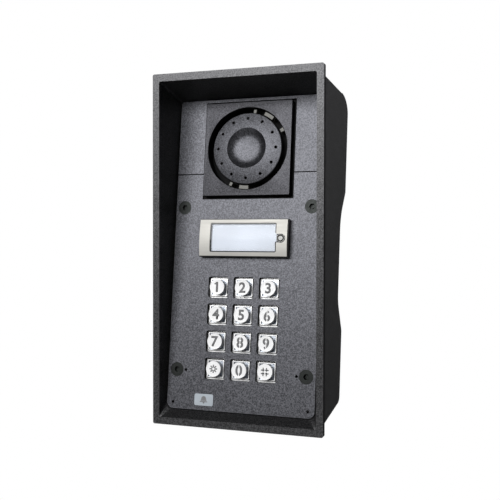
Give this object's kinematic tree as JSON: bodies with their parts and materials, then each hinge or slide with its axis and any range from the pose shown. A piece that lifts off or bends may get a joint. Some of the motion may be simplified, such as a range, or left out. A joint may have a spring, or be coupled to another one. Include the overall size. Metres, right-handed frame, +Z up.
{
  "type": "door intercom panel",
  "caption": "Wall-mounted metal door intercom: rain-hooded housing, domed speaker, lit name plate that is the call button, and a metal push-button keypad.",
  "frame": {"origin": "centre of the four wall-screw holes, on the wall plane", "axes": "+Z up, +X to the right of a visitor who faces the unit, +Y into the wall (the front faces -Y)"},
  "size_m": [0.109, 0.083, 0.217],
  "materials": {
    "powder_coat": "matt, fine orange-peel texture, charcoal",
    "black_rubber": "matt black",
    "dark_steel": "blackened steel screw",
    "badge_metal": "satin, pale grey-blue",
    "black_plastic": "black",
    "ivory_plastic": "ivory",
    "zinc_steel": "zinc plated",
    "cone": "black treated paper",
    "silicone": "translucent grey silicone",
    "circuit_board": "green solder mask",
    "green_plastic": "green",
    "blue_plastic": "blue",
    "can_sleeve": "dark sleeve",
    "nickel": "satin nickel",
    "clear": "clear window",
    "card": "white paper card",
    "chrome": "bright",
    "white_key": "white, glossy"
  },
  "bodies": {
    "housing": {"housing": "powder_coat", "panel_gasket": "black_rubber", "upper_panel": "powder_coat", "lower_panel": "powder_coat", "panel_screws": "dark_steel", "badge": "badge_metal", "speaker_frame": "black_plastic", "speaker_cover": "powder_coat", "speaker_disc": "powder_coat", "speaker_mesh": "black_plastic", "grille_clips": "ivory_plastic", "speaker_basket": "zinc_steel", "speaker_cone": "cone", "speaker_magnet": "zinc_steel", "speaker_screws": "zinc_steel", "button_switches": "black_plastic", "keypad_mat": "silicone", "keypad_board": "circuit_board", "keypad_board_screws": "zinc_steel", "board_stacker": "black_plastic", "main_board": "circuit_board", "main_board_screws": "zinc_steel", "terminal_blocks": "green_plastic", "relay": "blue_plastic", "capacitors": "can_sleeve", "network_jack": "zinc_steel", "processor_chips": "black_plastic", "microphone": "zinc_steel", "microphone_boot": "black_rubber", "cable_grommet": "black_rubber"},
    "call_button": {"button_plate": "nickel", "button_window": "clear", "name_card": "card", "button_body": "black_plastic", "button_screw": "chrome"},
    "key_1": {"key_cap_1": "chrome", "key_face_1": "white_key"},
    "key_2": {"key_cap_2": "chrome", "key_face_2": "white_key"},
    "key_3": {"key_cap_3": "chrome", "key_face_3": "white_key"},
    "key_4": {"key_cap_4": "chrome", "key_face_4": "white_key"},
    "key_5": {"key_cap_5": "chrome", "key_face_5": "white_key"},
    "key_6": {"key_cap_6": "chrome", "key_face_6": "white_key"},
    "key_7": {"key_cap_7": "chrome", "key_face_7": "white_key"},
    "key_8": {"key_cap_8": "chrome", "key_face_8": "white_key"},
    "key_9": {"key_cap_9": "chrome", "key_face_9": "white_key"},
    "key_star": {"key_cap_star": "chrome", "key_face_star": "white_key"},
    "key_0": {"key_cap_0": "chrome", "key_face_0": "white_key"},
    "key_hash": {"key_cap_hash": "chrome", "key_face_hash": "white_key"}
  },
  "joints": [
    {"name": "press_key_1", "type": "slide", "parent": "housing", "child": "key_1", "axis": [0, 1, 0], "range_m": [0, 0.001], "stiffness_N_per_m": 800},
    {"name": "press_key_2", "type": "slide", "parent": "housing", "child": "key_2", "axis": [0, 1, 0], "range_m": [0, 0.001], "stiffness_N_per_m": 800},
    {"name": "press_key_3", "type": "slide", "parent": "housing", "child": "key_3", "axis": [0, 1, 0], "range_m": [0, 0.001], "stiffness_N_per_m": 800},
    {"name": "press_key_4", "type": "slide", "parent": "housing", "child": "key_4", "axis": [0, 1, 0], "range_m": [0, 0.001], "stiffness_N_per_m": 800},
    {"name": "press_key_5", "type": "slide", "parent": "housing", "child": "key_5", "axis": [0, 1, 0], "range_m": [0, 0.001], "stiffness_N_per_m": 800},
    {"name": "press_key_6", "type": "slide", "parent": "housing", "child": "key_6", "axis": [0, 1, 0], "range_m": [0, 0.001], "stiffness_N_per_m": 800},
    {"name": "press_key_7", "type": "slide", "parent": "housing", "child": "key_7", "axis": [0, 1, 0], "range_m": [0, 0.001], "stiffness_N_per_m": 800},
    {"name": "press_key_8", "type": "slide", "parent": "housing", "child": "key_8", "axis": [0, 1, 0], "range_m": [0, 0.001], "stiffness_N_per_m": 800},
    {"name": "press_key_9", "type": "slide", "parent": "housing", "child": "key_9", "axis": [0, 1, 0], "range_m": [0, 0.001], "stiffness_N_per_m": 800},
    {"name": "press_key_star", "type": "slide", "parent": "housing", "child": "key_star", "axis": [0, 1, 0], "range_m": [0, 0.001], "stiffness_N_per_m": 800},
    {"name": "press_key_0", "type": "slide", "parent": "housing", "child": "key_0", "axis": [0, 1, 0], "range_m": [0, 0.001], "stiffness_N_per_m": 800},
    {"name": "press_key_hash", "type": "slide", "parent": "housing", "child": "key_hash", "axis": [0, 1, 0], "range_m": [0, 0.001], "stiffness_N_per_m": 800},
    {"name": "press_call_button", "type": "slide", "parent": "housing", "child": "call_button", "axis": [0, 1, 0], "range_m": [0, 0.0012], "stiffness_N_per_m": 1000}
  ]
}
